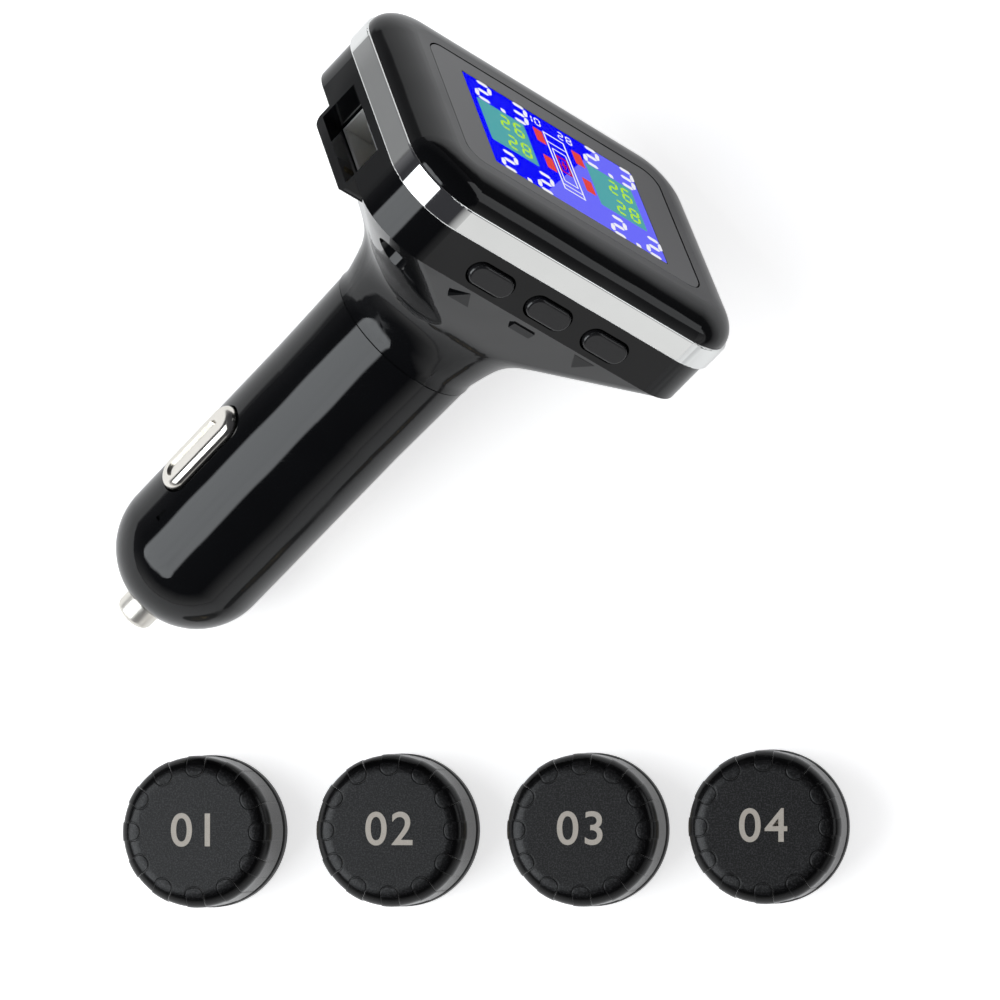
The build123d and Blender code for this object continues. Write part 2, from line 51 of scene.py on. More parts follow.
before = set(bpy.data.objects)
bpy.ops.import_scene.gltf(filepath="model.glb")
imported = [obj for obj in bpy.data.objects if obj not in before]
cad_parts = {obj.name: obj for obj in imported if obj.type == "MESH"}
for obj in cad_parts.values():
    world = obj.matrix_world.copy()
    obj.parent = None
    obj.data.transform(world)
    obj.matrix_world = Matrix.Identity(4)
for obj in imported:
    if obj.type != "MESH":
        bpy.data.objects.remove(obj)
CAD_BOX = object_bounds()

MM = 0.001
DISPLAY_BODY = "display_unit"
SENSORS = (1, 2, 3, 4)
X_WAY, Y_WAY, Z_WAY = (1, 0, 0), (0, 1, 0), (0, 0, 1)

# How the display unit lies, in degrees: its heading, how far the plug's axis falls below level towards
# the tip, and the turn round that axis. The unit is turned about the middle of the plug.
HEADING, FALL, ROLL = 42.67, 17.13, 45
FACE_TO_PLUG_MIDDLE = 58.25
# The display unit's own axes: X along the screen, Y up the screen, Z out of it, the plug along -Z.
DISPLAY = (
    Matrix.Rotation(radians(HEADING), 4, "Z")
    @ Matrix.Rotation(radians(90 - FALL), 4, "Y")
    @ Matrix.Rotation(radians(-ROLL), 4, "Z")
    @ Matrix.Translation((0, 0, FACE_TO_PLUG_MIDDLE * MM))
)

# Lit picture, in millimetres on the display's own axes: its middle, its depth, the clear margin round it,
# the layers of its field, boxes and figures from that depth, and the edge of a painted glare past which the
# field is painted paler, as a reflection on the window.
SCREEN_CENTRE = (-0.2, -0.47)
SCREEN_LAYER_Z = -0.066
WINDOW_MARGIN = 0.06
FIELD_LAYER, BOX_LAYER, INK_LAYER = (-0.01, -0.006), (-0.004, 0.0), (0.002, 0.006)
PAINTED_GLARE_OFFSET, PAINTED_GLARE_SLOPE = 1.0, 0.753

# Grip pads round a sensor cap, and how far below its top the grain reaches, in millimetres.
PAD_COUNT, PAD_W, PAD_END = 12, 2.4, 8.3
TOP_SKIN = 0.4
# Figures on the caps: their middle above the cap, added boldness, half their thickness, and a digit's
# share of the type size.
FIGURE_LIFT, FIGURE_WEIGHT, FIGURE_RELIEF = 0.002 * MM, 0.05 * MM, 0.006 * MM
DIGIT_SHARE = 0.73

# USB tongue, in millimetres on the display's own axes: the face that carries the contact strips, the end
# at the mouth, the strips' middles, their reach from that end and their layer from that face.
TONGUE_FACE_Z, TONGUE_MOUTH_X = -11.15, -22.4
CONTACT_ROWS, CONTACT_HALF_W = (-3.5, -1.0, 1.0, 3.5), 0.5
CONTACT_REACH, CONTACT_LAYER = (0.9, 8.6), (-0.09, -0.002)

# Studio, in metres: where the lamps point, the lamps, the softbox's face with its round corners and how
# much more power reflections see on it, the paper and the camera.
LAMP_TARGET = (0.02, 0.02, 0.01)
LEFT_PANEL = {"size": (0.62, 0.62), "place": (-0.43, -0.1, 0.53), "width_way": (0.57, -0.76, 0.33)}
RIGHT_PANEL = {"size": (0.5, 0.16), "place": (0.64, 0.1, 0.1), "width_way": (-0.1, 1, 0)}
SOFTBOX_SIZE, SOFTBOX_CORNER, SOFTBOX_GAIN = 0.7, 0.2, 1.8
PAPER_HALF = 3.0
CAMERA_PLACE = (0.14817, -0.03989, 0.818)
CAMERA_AXES = ((0.98977, 0.00045, -0.1427), (0.00587, 0.99902, 0.04386), (0.14258, -0.04425, 0.98879))


# ---------------------------------------------------------------- shader expressions


class Sock:
    """A socket of a finish. Arithmetic on it adds Math nodes to the same finish."""

    def __init__(self, finish, socket):
        self.finish, self.socket = finish, socket

    def math(self, operation, *others, clamp=False):
        """A Math node whose first value is this socket."""
        return self.finish.math(operation, self, *others, clamp=clamp)

    def __add__(self, other):
        return self.math("ADD", other)

    __radd__ = __add__

    def __sub__(self, other):
        return self.math("SUBTRACT", other)

    def __rsub__(self, other):
        return self.finish.math("SUBTRACT", other, self)

    def __mul__(self, other):
        return self.math("MULTIPLY", other)

    __rmul__ = __mul__

    def __truediv__(self, other):
        return self.math("DIVIDE", other)

    def __abs__(self):
        return self.math("ABSOLUTE")

    def above(self, edge, soft):
        """0 below the edge, 1 above it, with a soft step between."""
        return (self - edge).math("MULTIPLY", 1 / soft, clamp=True)

    def most(self, other):
        return self.math("MAXIMUM", other)


class Finish:
    """A material, or the world, under construction."""

    def __init__(self, name, owner=None):
        self.data = owner or bpy.data.materials.new(name)
        self.data.use_nodes = True
        self.tree = self.data.node_tree
        self.tree.nodes.clear()

    def add(self, kind, settings=None, sockets=None, out=0):
        """Adds a node: its settings first, then the values or links of its sockets."""
        node = self.tree.nodes.new(kind)
        for key, value in (settings or {}).items():
            setattr(node, key, value)
        for key, value in (sockets or {}).items():
            if isinstance(value, Sock):
                self.tree.links.new(value.socket, node.inputs[key])
            else:
                node.inputs[key].default_value = value
        return Sock(self, node.outputs[out] if node.outputs else None)

    def math(self, operation, *values, clamp=False):
        settings = {"operation": operation, "use_clamp": clamp}
        return self.add("ShaderNodeMath", settings, dict(enumerate(values)))

    def place(self):
        """Position on the piece in millimetres."""
        spot = self.add("ShaderNodeTexCoord", out="Object")
        return self.add("ShaderNodeVectorMath", {"operation": "SCALE"}, {0: spot, "Scale": 1 / MM})

    def along(self, spot, direction, offset=0.0):
        """Distance in millimetres along a direction, from an offset."""
        dot = {"operation": "DOT_PRODUCT"}
        return self.add("ShaderNodeVectorMath", dot, {0: spot, 1: direction}, "Value") - offset

    def noise(self, spot, size, detail=2.0, rough=0.5):
        """Noise between 0 and 1 whose lumps are about `size` millimetres."""
        sockets = {"Vector": spot, "Scale": 1 / size, "Detail": detail, "Roughness": rough}
        return self.add("ShaderNodeTexNoise", None, sockets)

    def light_path(self, ray):
        """1 for one kind of ray, such as Camera or Glossy, and 0 for the rest."""
        return self.add("ShaderNodeLightPath", out=f"Is {ray} Ray")

    def mix(self, share, first, second):
        """A colour between two, by the share of the second."""
        return self.add("ShaderNodeMix", {"data_type": "RGBA"}, {0: share, 6: first, 7: second}, 2)

    def bump(self, height, strength, depth, below=None):
        """Relief up to `depth` millimetres high, on top of another one if given."""
        sockets = {"Height": height, "Strength": strength, "Distance": depth * MM}
        if below:
            sockets["Normal"] = below
        return self.add("ShaderNodeBump", None, sockets)

    def surface(self, **values):
        """Ends the finish in a Principled surface; underscores stand for spaces in socket names."""
        sockets = {key.replace("_", " "): value for key, value in values.items()}
        shader = self.add("ShaderNodeBsdfPrincipled", None, sockets)
        self.add("ShaderNodeOutputMaterial", None, {"Surface": shader})
        return self.data


def rgba(colour):
    return (*colour[:3], 1.0)


def shade(colour, factor):
    return (*(min(1.0, c * factor) for c in colour[:3]), 1.0)


# ---------------------------------------------------------------- finishes


def polished_black(name, colour, gloss):
    """Piano-black moulding: a mirror skin with faint flow ripples, hairlines and a little dust haze."""
    f = Finish(name)
    spot = f.place()
    haze = f.noise(spot, 9.0, 3.0)
    hairs = f.noise(f.add("ShaderNodeMapping", None, {0: spot, "Scale": (0.15, 2.6, 0.9)}), 0.5, 2.0)
    tone = f.mix(haze, shade(colour, 0.8), shade(colour, 1.35))
    rough = gloss + haze * 0.03 + hairs.above(0.62, 0.2) * 0.1
    ripple = f.bump(f.noise(spot, 13.0, 1.0), 0.4, 0.5)
    skin = f.bump(hairs, 0.007, 0.01, ripple)
    return f.surface(Base_Color=tone, Roughness=rough, Normal=skin, Specular_IOR_Level=0.32)


def satin_black(name, colour, rough, size, depth, strength=0.5):
    """Fine spark-eroded moulding texture."""
    f = Finish(name)
    spot = f.place()
    grain = f.noise(spot, size, 3.0, 0.6)
    haze = f.noise(spot, 4.0)
    tone = f.mix(grain, shade(colour, 0.7), shade(colour, 1.4))
    skin = f.bump(grain, strength, depth)
    return f.surface(Base_Color=tone, Roughness=rough + haze * 0.08, Normal=skin, Specular_IOR_Level=0.45)


def sensor_black(name, colour, centre, top_z):
    """Matt grained top face, a polished shoulder and skirt, and a fine groove round each grip pad, pressed in
    as relief and painted dark as shade.
    """
    f = Finish(name)
    spot = f.place()
    x, y = f.along(spot, X_WAY, centre.x / MM), f.along(spot, Y_WAY, centre.y / MM)
    flat = f.along(spot, Z_WAY).above(top_z - TOP_SKIN, 0.3)
    grain = f.noise(spot, 0.2, 2.0, 0.6)
    coarse = f.noise(spot, 0.4, 2.0)
    scuff = f.noise(spot, 2.6, 4.0, 0.65)
    shaded_groove = pad_grooves(f, x, y)
    tone = f.mix((grain - 0.47) * flat * 6.0, shade(colour, 0.7), shade(colour, 7.0))
    tone = f.mix(scuff.above(0.6, 0.2) * flat * 0.3, tone, shade(colour, 3.5))
    # Painted shade: the groove round each pad is darkened nearly to black, as shade inside a groove; the bump
    # below is its real relief.
    tone = f.mix(shaded_groove * 0.8, tone, (0.002, 0.002, 0.002, 1))
    rough = 0.16 + flat * 0.17 + scuff * 0.06
    skin = f.bump(coarse * 0.5 + grain, 0.2 + flat * 0.35, 0.03)
    skin = f.bump(1 - shaded_groove, 0.6, 0.08, skin)
    return f.surface(Base_Color=tone, Roughness=rough, Normal=skin, Specular_IOR_Level=0.22)


def pad_grooves(f, x, y):
    """1 on the U-shaped outline of each grip pad round a cap, 0 elsewhere."""
    radius = (x * x + y * y).math("SQRT")
    turn = y.math("ARCTAN2", x) * (PAD_COUNT / (2 * pi))
    across = (turn - turn.math("ROUND")) * (2 * pi / PAD_COUNT) * radius
    short = (PAD_END - radius).most(0)
    edge = abs((across * across + short * short).math("SQRT") - PAD_W / 2)
    return 1 - edge.above(0.05, 0.09)


def plated(name, colour, rough, size=7.0, wave=0.03, tarnish=0.9):
    """Bright plating with faint waviness and duller patches."""
    f = Finish(name)
    spot = f.place()
    cloud = f.noise(spot, size, 3.0)
    specks = f.noise(spot, 0.35, 2.0).above(0.72, 0.08)
    tone = f.mix(cloud, shade(colour, tarnish), rgba(colour))
    worn = rough + cloud * 0.05 + specks * 0.06
    return f.surface(Base_Color=tone, Metallic=1.0, Roughness=worn, Normal=f.bump(cloud, wave, 0.08))


def drawn_metal(name, colour, rough, direction, pitch=0.12):
    """Rolled, drawn or turned metal, with fine lines across one direction."""
    f = Finish(name)
    spot = f.place()
    one_way = {"W": f.along(spot, direction) / pitch, "Detail": 2.0}
    lines = f.add("ShaderNodeTexNoise", {"noise_dimensions": "1D"}, one_way)
    cloud = f.noise(spot, 2.5, 3.0)
    tone = f.mix(lines, shade(colour, 0.82), rgba(colour))
    worn = rough + lines * 0.12 + cloud * 0.06
    return f.surface(Base_Color=tone, Metallic=1.0, Roughness=worn, Normal=f.bump(lines, 0.2, 0.01))


def circuit_board(name, colour, across, along):
    """Green solder mask with paler tracks and tinned pads."""
    f = Finish(name)
    spot = f.place()
    u, v = f.along(spot, across), f.along(spot, along)
    cell = f.noise(spot, 3.5, 1.0)
    rows = abs((v / 1.3 + cell * 2).math("FRACT") - 0.5).above(0.32, 0.05)
    columns = abs((u / 1.7).math("FRACT") - 0.5).above(0.36, 0.05)
    tracks = (rows * cell.above(0.45, 0.03)).most(columns * (1 - cell.above(0.45, 0.03)))
    dots = f.add("ShaderNodeTexVoronoi", None, {"Vector": spot, "Scale": 0.55, "Randomness": 0.6})
    pads = 1 - dots.above(0.16, 0.03)
    tone = f.mix(tracks, shade(colour, 0.8), shade(colour, 1.7))
    tone = f.mix(pads, tone, (0.62, 0.6, 0.55, 1))
    skin = f.bump(tracks + pads, 0.3, 0.03)
    return f.surface(Base_Color=tone, Metallic=pads * 0.9, Roughness=0.34 - pads * 0.06, Normal=skin)


def moulded(name, colour, rough, size=0.4, strength=0.25):
    """Plain moulded plastic, ferrite or rubber with a soft grain."""
    f = Finish(name)
    spot = f.place()
    grain, cloud = f.noise(spot, size, 3.0), f.noise(spot, size * 12)
    tone = f.mix(cloud, shade(colour, 0.85), shade(colour, 1.15))
    return f.surface(Base_Color=tone, Roughness=rough + grain * 0.1, Normal=f.bump(grain, strength, 0.02))


def clear_glass(name, colour):
    """Thin clear tube with faint draw marks."""
    f = Finish(name)
    spot = f.place()
    cloud = f.noise(spot, 3.0)
    tone = f.mix(cloud, shade(colour, 0.96), rgba(colour))
    return f.surface(Base_Color=tone, Roughness=0.02 + cloud * 0.02, Transmission_Weight=1.0, IOR=1.5)


def screen_local(f, spot):
    """Distances from the middle of the lit picture, along the screen and up it."""
    x_way, y_way = (DISPLAY.to_3x3() @ Vector(way) for way in (X_WAY, Y_WAY))
    start = DISPLAY @ (Vector((*SCREEN_CENTRE, 0)) * MM) / MM
    return f.along(spot, x_way, x_way.dot(start)), f.along(spot, y_way, y_way.dot(start))


def window_glass(name, border, see_through, width, height):
    """Display window: black printed frame round a clear, faintly smoked opening."""
    f = Finish(name)
    spot = f.place()
    x, y = screen_local(f, spot)
    past_side = abs(x).above(width / 2 + WINDOW_MARGIN, 0.03)
    past_end = abs(y).above(height / 2 + WINDOW_MARGIN, 0.03)
    frame_print = past_side.most(past_end)
    haze = f.noise(spot, 7.0, 3.0)
    tone = f.mix(haze, shade(border, 0.8), shade(border, 1.3))
    return f.surface(
        Base_Color=tone,
        Roughness=0.03 + haze * 0.02,
        Alpha=see_through + frame_print * (1 - see_through),
        Normal=f.bump(f.noise(spot, 9.0, 1.0), 0.02, 0.04),
        Specular_IOR_Level=0.5,
    )


def lit_surface(f, light, dots, body, rough):
    """Ends a finish that shines by itself and reflects next to nothing."""
    return f.surface(
        Base_Color=body,
        Roughness=rough + dots * 0.05,
        Emission_Color=light,
        Emission_Strength=1.0,
        Specular_IOR_Level=0.0,
    )


def lit_ground_with_painted_glare(name, ground, glow):
    """Picture field: lit dots, and a painted reflection (glare) that makes it paler on one side of a slant.
    """
    f = Finish(name)
    spot = f.place()
    x, y = screen_local(f, spot)
    dots = f.noise(spot, 0.12, 1.0)
    # Painted reflection: past the slanted edge the field turns to the paler glow colour, as glare on the
    # window.
    field = f.mix((x - y * PAINTED_GLARE_SLOPE - PAINTED_GLARE_OFFSET).above(0, 0.06), rgba(ground), rgba(glow))
    lit = f.mix(dots * 0.06, field, (0, 0, 0.6, 1))
    return lit_surface(f, lit, dots, (0, 0, 0.02, 1), 0.35)


def lit_ink(name, colour):
    """A lit colour of the screen picture."""
    f = Finish(name)
    dots = f.noise(f.place(), 0.15, 1.0)
    tone = f.mix(dots * 0.12, rgba(colour), shade(colour, 0.7))
    return lit_surface(f, tone, dots, (0, 0, 0, 1), 0.4)


def etched_ink(name, colour):
    """Laser-etched marking with a slightly broken edge and grain."""
    f = Finish(name)
    grain = f.noise(f.place(), 0.13, 3.0, 0.7)
    tone = f.mix(grain, shade(colour, 0.7), shade(colour, 1.25))
    return f.surface(Base_Color=tone, Roughness=0.5 + grain * 0.15, Normal=f.bump(grain, 0.4, 0.02))


# ---------------------------------------------------------------- pieces


def dress(material, *nodes):
    """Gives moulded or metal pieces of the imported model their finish."""
    for node in nodes:
        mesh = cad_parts[node].data
        mesh.materials.clear()
        mesh.materials.append(material)


def each_sensor(stem):
    return [f"{stem}_{n}" for n in SENSORS]


def new_piece(name, mesh, material, body):
    piece = bpy.data.objects.new(name, mesh)
    bpy.context.scene.collection.objects.link(piece)
    mesh.materials.clear()
    mesh.materials.append(material)
    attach(piece, body)
    return piece


def slab(bm, outline, low, high):
    """A thin prism on a closed outline of (x, y) points, in millimetres."""
    bottom = [bm.verts.new((x * MM, y * MM, low * MM)) for x, y in outline]
    top = [bm.verts.new((x * MM, y * MM, high * MM)) for x, y in outline]
    count = len(outline)
    bm.faces.new(top)
    bm.faces.new(bottom[::-1])
    for i in range(count):
        j = (i + 1) % count
        bm.faces.new((bottom[i], bottom[j], top[j], top[i]))


def slabs_mesh(name, outlines, low, high, place):
    """One mesh of thin prisms, moved by a placement matrix."""
    bm = bmesh.new()
    for outline in outlines:
        slab(bm, outline, low, high)
    bmesh.ops.transform(bm, matrix=place, verts=bm.verts)
    bmesh.ops.recalc_face_normals(bm, faces=bm.faces)
    mesh = bpy.data.meshes.new(name)
    bm.to_mesh(mesh)
    bm.free()
    return mesh


def rounded(x0, y0, x1, y1, r, steps=5):
    """Outline of a rectangle with round corners."""
    points = []
    middles = ((x1 - r, y1 - r, 0), (x0 + r, y1 - r, 90), (x0 + r, y0 + r, 180), (x1 - r, y0 + r, 270))
    for cx, cy, turn in middles:
        for i in range(steps + 1):
            a = radians(turn + 90 * i / steps)
            points.append((cx + r * cos(a), cy + r * sin(a)))
    return points


def box_outline(x0, y0, x1, y1):
    return [(x0, y0), (x1, y0), (x1, y1), (x0, y1)]


def bar(p, q, width):
    """A stroke from p to q with pointed ends, as on a segment display."""
    (x0, y0), (x1, y1) = p, q
    length = ((x1 - x0) ** 2 + (y1 - y0) ** 2) ** 0.5
    ux, uy = (x1 - x0) / length, (y1 - y0) / length
    h = tip = width / 2
    return [
        (x0, y0),
        (x0 + ux * tip + uy * h, y0 + uy * tip - ux * h),
        (x1 - ux * tip + uy * h, y1 - uy * tip - ux * h),
        (x1, y1),
        (x1 - ux * tip - uy * h, y1 - uy * tip + ux * h),
        (x0 + ux * tip - uy * h, y0 + uy * tip + ux * h),
    ]


# The lit segments of each digit that the picture shows, and each segment's ends in half heights.
SEGMENTS = {"0": "abcdef", "1": "bc", "2": "abged", "3": "abgcd", "6": "afgedc", "8": "abcdefg"}
ENDS = {
    "a": ((0, 2), (1, 2)),
    "b": ((1, 2), (1, 1)),
    "c": ((1, 1), (1, 0)),
    "d": ((0, 0), (1, 0)),
    "e": ((0, 1), (0, 0)),
    "f": ((0, 2), (0, 1)),
    "g": ((0, 1), (1, 1)),
}


def segment_text(text, x, y, height, width, stroke, lean, pitch):
    """Outlines of segment digits and points, from the lower left corner (x, y)."""
    outlines, gap = [], stroke * 0.14
    for mark in text:
        if mark == ".":
            dot = (x - stroke * 0.4, y - stroke * 0.5, x + stroke * 0.7, y + stroke * 0.6)
            outlines.append(rounded(*dot, stroke * 0.3))
            x += width * (pitch - 1)
            continue
        for name in SEGMENTS[mark]:
            (u0, v0), (u1, v1) = ENDS[name]
            du, dv = (gap if u0 != u1 else 0), (-gap if v1 < v0 else 0)
            p = (x + u0 * width + du, y + v0 * height / 2 + dv)
            q = (x + u1 * width - du, y + v1 * height / 2 - dv)
            outlines.append([(a + (b - y) * lean, b) for a, b in bar(p, q, stroke)])
        x += width * pitch
    return outlines


def ring_bars(x0, y0, x1, y1, stroke):
    """A rectangular outline as four strokes."""
    h = stroke / 2
    return [
        box_outline(x0 - h, y0 - h, x1 + h, y0 + h),
        box_outline(x0 - h, y1 - h, x1 + h, y1 + h),
        box_outline(x0 - h, y0 + h, x0 + h, y1 - h),
        box_outline(x1 - h, y0 + h, x1 + h, y1 - h),
    ]


def strip(x0, y0, x1, y1, width):
    """A plain stroke along one axis."""
    across, along = (width / 2, 0) if x0 == x1 else (0, width / 2)
    return box_outline(min(x0, x1) - across, min(y0, y1) - along, max(x0, x1) + across, max(y0, y1) + along)


def readings(left):
    """One side of the picture: a box with two temperatures, and a pressure above and below it."""
    box = rounded(left, -4.05, left + 8.1, 4.85, 0.25)
    pressures, temperatures = [], []
    for row, figures in ((5.35, "2.3"), (-9.3, "2.2")):
        pressures += segment_text(figures, left + 0.4, row, 3.9, 2.3, 0.74, 0.2, 1.85)
    for row, figures in ((1.15, "26"), (-3.1, "28")):
        temperatures += segment_text(figures, left + 3.4, row, 2.7, 1.35, 0.42, 0.12, 1.75)
    return box, pressures, temperatures


def car_outline():
    """The car from above: body, bonnet and boot lines, and the cabin."""
    body_x, cabin_x, cabin_y = 1.75, 1.15, (-3.6, 3.2)
    lines = ring_bars(-body_x, -5.6, body_x, 6.3, 0.26)
    lines += [strip(-body_x, y, body_x, y, 0.22) for y in (-4.6, 4.4)]
    lines += [strip(-cabin_x, y, cabin_x, y, 0.22) for y in cabin_y]
    lines += [strip(x, cabin_y[0], x, cabin_y[1], 0.2) for x in (-cabin_x, cabin_x)]
    return lines


def screen_art():
    """The picture's outlines by ink, in millimetres from its middle."""
    art = {"white": [], "teal": [], "yellow": [], "red": [], "crimson": []}
    for left in (-13.75, 5.1):
        box, pressures, temperatures = readings(left)
        art["teal"].append(box)
        art["white"] += pressures
        art["yellow"] += temperatures
    art["red"] = [rounded(x, y, x + 1.65, y + 2.9, 0.15) for x in (-3.75, 3.0) for y in (-2.7, 3.1)]
    for x, figures in ((-4.2, "10"), (1.3, "28")):
        art["white"] += segment_text(figures, x, 7.2, 1.5, 0.85, 0.24, 0.1, 1.7)
    art["white"] += car_outline()
    art["crimson"] += ring_bars(-0.85, -1.3, 0.85, 1.9, 0.34)
    art["crimson"] += [strip(-0.4, 0.3, 0.4, 0.3, 0.5), strip(0, -0.6, 0, 1.2, 0.34)]
    return art


def label_mesh(name, text, height, weight, place):
    """Plain raised figures, centred on the placement."""
    curve = bpy.data.curves.new(name, "FONT")
    curve.body = text
    curve.size, curve.offset, curve.extrude = height / DIGIT_SHARE, weight, FIGURE_RELIEF
    curve.align_x, curve.align_y, curve.space_character = "CENTER", "CENTER", 1.12
    holder = bpy.data.objects.new(name, curve)
    bpy.context.scene.collection.objects.link(holder)
    bpy.context.view_layer.update()
    mesh = bpy.data.meshes.new_from_object(holder.evaluated_get(bpy.context.evaluated_depsgraph_get()))
    bpy.data.objects.remove(holder)
    mesh.transform(place)
    mesh.name = name
    return mesh


# ---------------------------------------------------------------- settings


def colour_prop(name, description, default):
    return FloatVectorProperty(
        name=name, description=description, default=default, subtype="COLOR", min=0, max=1
    )


class CasingLooks(bpy.types.PropertyGroup):
    """Colours of the casing, plug and metal parts."""

    black: colour_prop("Casing black", "Polished casing, bezel and plug barrel", (0.003, 0.0032, 0.0037))
    button: colour_prop("Button black", "The three keys", (0.011, 0.011, 0.012))
    gloss: FloatProperty(
        name="Casing gloss", description="Roughness of the polished skin", default=0.045, min=0, max=1
    )
    chrome: colour_prop("Chrome", "Band round the display head", (0.86, 0.87, 0.86))
    nickel: colour_prop("Nickel", "Side contacts and tip", (0.84, 0.81, 0.75))


class ScreenLooks(bpy.types.PropertyGroup):
    """Size and colours of the lit picture."""

    width: FloatProperty(name="Picture width", description="Lit width", default=29.6 * MM, unit="LENGTH")
    height: FloatProperty(name="Picture height", description="Lit height", default=19.1 * MM, unit="LENGTH")
    ground: colour_prop("Ground", "Darker side of the picture field", (0.0, 0.0, 1.0))
    # The paler side of the picture field is a painted reflection (glare), not a colour of the screen picture.
    glow: colour_prop("Glow", "Paler side of the picture field", (0.16, 0.16, 1.0))
    white: colour_prop("White", "Pressure figures and car outline", (0.92, 0.92, 1.0))
    teal: colour_prop("Teal", "Boxes behind the temperatures", (0.09, 0.4, 0.42))
    yellow: colour_prop("Yellow", "Temperature figures", (0.5, 0.86, 0.02))
    red: colour_prop("Red", "Tyres", (0.82, 0.06, 0.05))
    crimson: colour_prop("Crimson", "Sign in the middle of the car", (0.5, 0.0, 0.1))


class SensorLooks(bpy.types.PropertyGroup):
    """Colours and figures of the valve-cap sensors."""

    black: colour_prop("Sensor black", "Cap and base", (0.0028, 0.0028, 0.003))
    ink: colour_prop("Figures", "Etched numbers on the caps", (0.33, 0.3, 0.26))
    figure_height: FloatProperty(
        name="Figure height", description="Height of the numbers", default=4.4 * MM, unit="LENGTH"
    )


class StudioLooks(bpy.types.PropertyGroup):
    """Floor, lamps and camera."""

    floor: colour_prop("Floor", "Paper sweep", (0.8, 0.8, 0.8))
    left_power: FloatProperty(
        name="Left panel", description="Power of the large left panel in watts", default=4.3, min=0
    )
    right_power: FloatProperty(
        name="Right panel", description="Power of the low right panel in watts", default=0.35, min=0
    )
    focal: FloatProperty(name="Focal length", description="Camera lens in millimetres", default=233.6, min=1)


# ---------------------------------------------------------------- operators


class MouldingsOperator(bpy.types.Operator):
    """Finish the casing, plug, keys and other black mouldings"""

    bl_idname = "pressure_monitor.mouldings"
    bl_label = "Black Mouldings"

    def execute(self, context):
        looks = context.scene.monitor_casing
        casing = polished_black("casing_black", looks.black, looks.gloss)
        dress(casing, "front_bezel", "rear_shell", "plug_barrel")
        keys = satin_black("key_black", looks.button, 0.16, 0.3, 0.006, 0.25)
        dress(keys, "button_left", "button_middle", "button_right")
        inner = moulded("inner_black", (0.03, 0.03, 0.031), 0.5)
        dress(moulded("tongue_grey", (0.3, 0.3, 0.31), 0.4), "usb_tongue")
        dress(inner, "plug_core", "buzzer", "tact_switch_left", "tact_switch_middle", "tact_switch_right")
        return {"FINISHED"}


class MetalsOperator(bpy.types.Operator):
    """Finish the chrome band, contacts, springs, screws and USB shell"""

    bl_idname = "pressure_monitor.metals"
    bl_label = "Metal Parts"

    def execute(self, context):
        looks = context.scene.monitor_casing
        side_way, plug_way = (DISPLAY.to_3x3() @ Vector(way) for way in (Y_WAY, Z_WAY))
        dress(plated("band_chrome", looks.chrome, 0.03), "chrome_band")
        contacts = plated("contact_nickel", looks.nickel, 0.14, 2.0, 0.02, 0.92)
        dress(contacts, "side_contact_usb", "side_contact_far")
        turned = drawn_metal("tip_nickel", shade(looks.nickel, 1.08), 0.26, plug_way, 0.18)
        dress(turned, "tip_pin", "fuse_caps")
        springs = drawn_metal("spring_steel", (0.56, 0.56, 0.57), 0.24, side_way)
        dress(springs, "tip_spring", "side_spring_usb", "side_spring_far")
        dress(plated("screw_zinc", (0.6, 0.6, 0.58), 0.22, 1.5, 0.1, 0.7), "shell_screws")
        dress(drawn_metal("tinned_steel", (0.8, 0.8, 0.78), 0.42, plug_way, 0.3), "usb_shell", "radio_module")
        dress(drawn_metal("contact_brass", (0.78, 0.6, 0.28), 0.2, plug_way), "fuse_contact")
        dress(drawn_metal("insert_brass", (0.8, 0.62, 0.3), 0.22, Z_WAY), *each_sensor("valve_insert"))
        dress(drawn_metal("cell_steel", (0.62, 0.62, 0.62), 0.16, X_WAY, 0.2), *each_sensor("coin_cell"))
        return {"FINISHED"}


class ElectronicsOperator(bpy.types.Operator):
    """Finish the boards, chips, light tray, seals and fuse glass"""

    bl_idname = "pressure_monitor.electronics"
    bl_label = "Electronics"

    def execute(self, context):
        x_way, y_way, z_way = (DISPLAY.to_3x3() @ Vector(way) for way in (X_WAY, Y_WAY, Z_WAY))
        green = (0.012, 0.13, 0.04)
        dress(circuit_board("main_board_mask", green, x_way, y_way), "main_board")
        dress(circuit_board("power_board_mask", green, y_way, z_way), "power_board")
        dress(circuit_board("sensor_board_mask", green, X_WAY, Y_WAY), *each_sensor("sensor_board"))
        dress(moulded("chip_epoxy", (0.02, 0.02, 0.021), 0.42, 0.2), "controller_chip")
        dress(moulded("inductor_ferrite", (0.07, 0.07, 0.075), 0.55, 0.5), "power_inductor")
        dress(moulded("tray_white", (0.78, 0.78, 0.76), 0.4, 0.6, 0.1), "backlight")
        rubber = moulded("seal_rubber", (0.02, 0.02, 0.02), 0.62, 0.3)
        dress(rubber, *each_sensor("valve_seal"), *each_sensor("cap_ring"))
        dress(clear_glass("fuse_tube", (0.93, 0.95, 0.94)), "fuse_glass")
        return {"FINISHED"}


